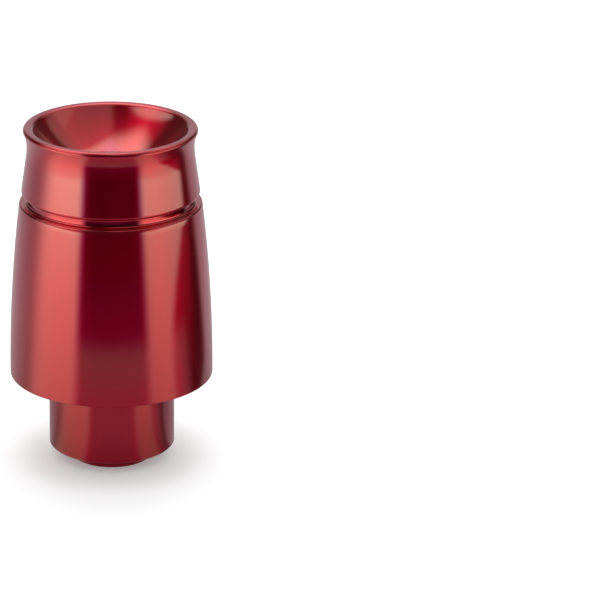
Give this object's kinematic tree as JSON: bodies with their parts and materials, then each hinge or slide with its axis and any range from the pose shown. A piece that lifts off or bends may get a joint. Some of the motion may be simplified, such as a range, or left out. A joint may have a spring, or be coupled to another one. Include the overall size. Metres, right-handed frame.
{
  "type": "bar end weight",
  "caption": "Turned and anodised handlebar end weight with a flared cup, a stepped spigot for the bar and a recessed socket head cap screw.",
  "frame": {"origin": "centre of the pilot's end face, on the turning axis, where the piece stands", "axes": "+Z along the turning axis, from the pilot to the cup; X and Y are square to it, and +X runs through a flat of the screw's socket"},
  "size_m": [0.0342, 0.0342, 0.0583],
  "materials": {
    "red_anodised": "fine turned, then bright red anodised",
    "stainless": "cold headed stainless steel, lightly satin"
  },
  "bodies": {
    "root": {"bar_end_body": "red_anodised", "fixing_screw": "stainless"}
  },
  "joints": []
}
